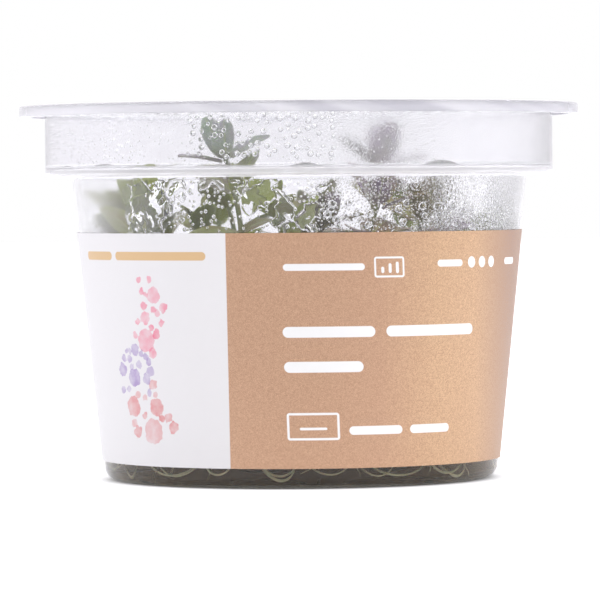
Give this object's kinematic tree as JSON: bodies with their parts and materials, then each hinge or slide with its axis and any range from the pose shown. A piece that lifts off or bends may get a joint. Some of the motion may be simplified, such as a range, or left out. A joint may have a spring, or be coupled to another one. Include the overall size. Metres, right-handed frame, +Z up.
{
  "type": "tissue culture cup of bacopa",
  "caption": "Clear stepped plastic cup with a press-on lid and a printed band label, holding culture gel and leafy aquarium plant shoots.",
  "frame": {"origin": "centre of the cup's foot, on the surface it stands on", "axes": "+Z up along the cup's axis, -Y towards the front, where the label's two panels meet"},
  "size_m": [0.1012, 0.1012, 0.0676],
  "materials": {
    "clear_plastic": "gloss, faintly milky",
    "lid_plastic": "gloss",
    "label_paper": "satin",
    "culture_gel": "wet",
    "stem": "satin",
    "leaf": "satin"
  },
  "bodies": {
    "root": {"back_leaf_1a": "leaf", "back_leaf_1b": "leaf", "back_left_leaf_1a": "leaf", "back_left_leaf_1b": "leaf", "back_left_stem": "stem", "back_right_leaf_1a": "leaf", "back_right_leaf_1b": "leaf", "back_right_stem": "stem", "back_stem": "stem", "culture_gel": "culture_gel", "cup": "clear_plastic", "front_leaf_1a": "leaf", "front_leaf_1b": "leaf", "front_leaf_2a": "leaf", "front_leaf_2b": "leaf", "front_left_leaf_1a": "leaf", "front_left_leaf_1b": "leaf", "front_left_leaf_2a": "leaf", "front_left_leaf_2b": "leaf", "front_left_stem": "stem", "front_right_leaf_1a": "leaf", "front_right_leaf_1b": "leaf", "front_right_leaf_2a": "leaf", "front_right_leaf_2b": "leaf", "front_right_stem": "stem", "front_stem": "stem", "heart_leaf_1a": "leaf", "heart_leaf_1b": "leaf", "heart_stem": "stem", "inner_front_stem": "stem", "inner_left_stem": "stem", "label": "label_paper", "left_back_leaf_1a": "leaf", "left_back_leaf_1b": "leaf", "left_back_stem": "stem", "left_front_leaf_1a": "leaf", "left_front_leaf_1b": "leaf", "left_front_leaf_2a": "leaf", "left_front_leaf_2b": "leaf", "left_front_stem": "stem", "left_leaf_1a": "leaf", "left_leaf_1b": "leaf", "left_leaf_2a": "leaf", "left_leaf_2b": "leaf", "left_stem": "stem", "lid": "lid_plastic", "middle_leaf_1a": "leaf", "middle_leaf_1b": "leaf", "middle_leaf_2a": "leaf", "middle_leaf_2b": "leaf", "middle_stem": "stem", "right_front_leaf_1a": "leaf", "right_front_leaf_1b": "leaf", "right_front_leaf_2a": "leaf", "right_front_leaf_2b": "leaf", "right_front_stem": "stem", "right_leaf_1a": "leaf", "right_leaf_1b": "leaf", "right_stem": "stem"}
  },
  "joints": []
}
